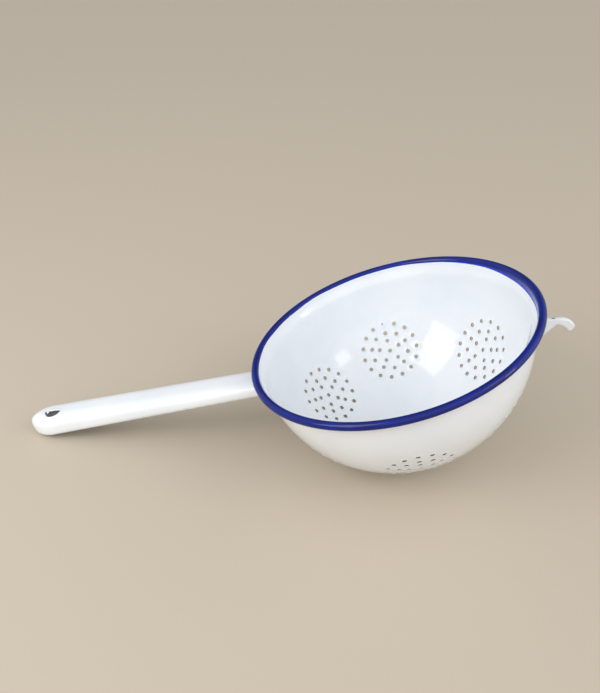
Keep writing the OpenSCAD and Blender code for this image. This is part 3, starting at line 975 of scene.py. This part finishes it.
def floor():
    """A plain pale table top, large enough to fill the view."""
    half = 6.0
    corners = [(-half, -half, 0), (half, -half, 0), (half, half, 0), (-half, half, 0)]
    mesh = bpy.data.meshes.new("floor")
    mesh.from_pydata(corners, [], [(0, 1, 2, 3)])
    made, r = material("pale_table")
    colour = r.mix(r.noise(900, 2), (0.54, 0.465, 0.37, 1), (0.575, 0.495, 0.395, 1))
    finish_material(r, {"Base Color": colour, "Roughness": 0.9})
    mesh.materials.append(made)
    top = bpy.data.objects.new("floor", mesh)
    bpy.context.scene.collection.objects.link(top)


def softbox(name, azimuth, elevation, distance, width, height, radiance):
    """A rectangular soft light that faces the bowl; its power follows from how bright its
    face is, which is what the enamel mirrors."""
    a, e = math.radians(azimuth), math.radians(elevation)
    way = Vector((math.sin(a) * math.cos(e), -math.cos(a) * math.cos(e), math.sin(e)))
    light = bpy.data.lights.new(name, "AREA")
    light.shape = "RECTANGLE"
    light.size, light.size_y = width, height
    light.energy = radiance * math.pi * width * height
    lamp = bpy.data.objects.new(name, light)
    lamp.location = Vector((0, 0, 0.11)) + way * distance
    lamp.rotation_euler = way.to_track_quat("Z", "Y").to_euler()
    bpy.context.scene.collection.objects.link(lamp)


def studio_air():
    """The light of the room as wide soft lobes: the right, the front, the left, and a little
    from above."""
    world = bpy.data.worlds.new("studio")
    bpy.context.scene.world = world
    world.use_nodes = True
    r = Recipe(world.node_tree)
    way = r.node("ShaderNodeTexCoord", {}, {}).outputs["Generated"]
    apart = r.node("ShaderNodeSeparateXYZ", {}, {0: way})
    strength = 0.0
    for lobe, level in AIR:
        size = math.hypot(*lobe)
        x, y, z = (Value(r, apart.outputs[i]) * (c / size) for i, c in enumerate(lobe))
        strength = (x + y + z).above(LOBE_FROM, LOBE_RAMP) * level + strength
    colour = (0.97, 0.985, 1.0, 1)
    air = r.node("ShaderNodeBackground", {}, {"Color": colour, "Strength": strength})
    r.node("ShaderNodeOutputWorld", {}, {"Surface": air.outputs[0]})


def camera():
    """The photograph's view, found from the ellipse of the rim and the drain holes."""
    data = bpy.data.cameras.new("camera")
    data.sensor_width = 36.0
    data.lens = LENS
    data.shift_y = SHIFT_UP
    eye = bpy.data.objects.new("camera", data)
    turned = Matrix((VIEW_RIGHT, VIEW_UP, VIEW_RIGHT.cross(VIEW_UP))).transposed().to_4x4()
    eye.matrix_world = Matrix.Translation(VIEW_FROM * MM) @ turned
    bpy.context.scene.collection.objects.link(eye)
    bpy.context.scene.camera = eye


white, blue = white_enamel(), blue_enamel()
make_bowl(white)
make_rim(blue)
make_handle(white)
make_hook(white)
foot_turn = weld_angle(HALF_W + FOOT_R + WELD_SHARE * FOOT_W)
foot_turns = [180 - foot_turn, 180 - foot_turn, 180 + foot_turn, 180 + foot_turn]
foot_heights = [WELD_SHARE * CROWN_ROOT, -WELD_SHARE * HANDLE_LIP]
foot_drops = [weld_angle(HANDLE_DROP - h - CENTRE_DROP) for h in foot_heights]
make_welds("handle_spot_welds", white, "handle_welds", foot_turns, foot_drops * 2, SHEET + SEAT)
ear_turn = weld_angle((EAR_W + HOOK_W) / 4)
ear_drop = weld_angle(-EAR_MID - CENTRE_DROP)
make_welds("hook_spot_welds", white, "hook_welds", [ear_turn, -ear_turn], [ear_drop] * 2, HOOK_T)

floor()
studio_air()
softbox("window_light", -57, 30, 1.3, 0.7, 0.94, 3.1)
softbox("side_light", 60, 40, 1.4, 0.36, 0.27, 2.9)
softbox("right_light", 75, 20, 1.4, 0.24, 0.46, 3.5)
camera()
bpy.context.scene.view_settings.view_transform = "Standard"
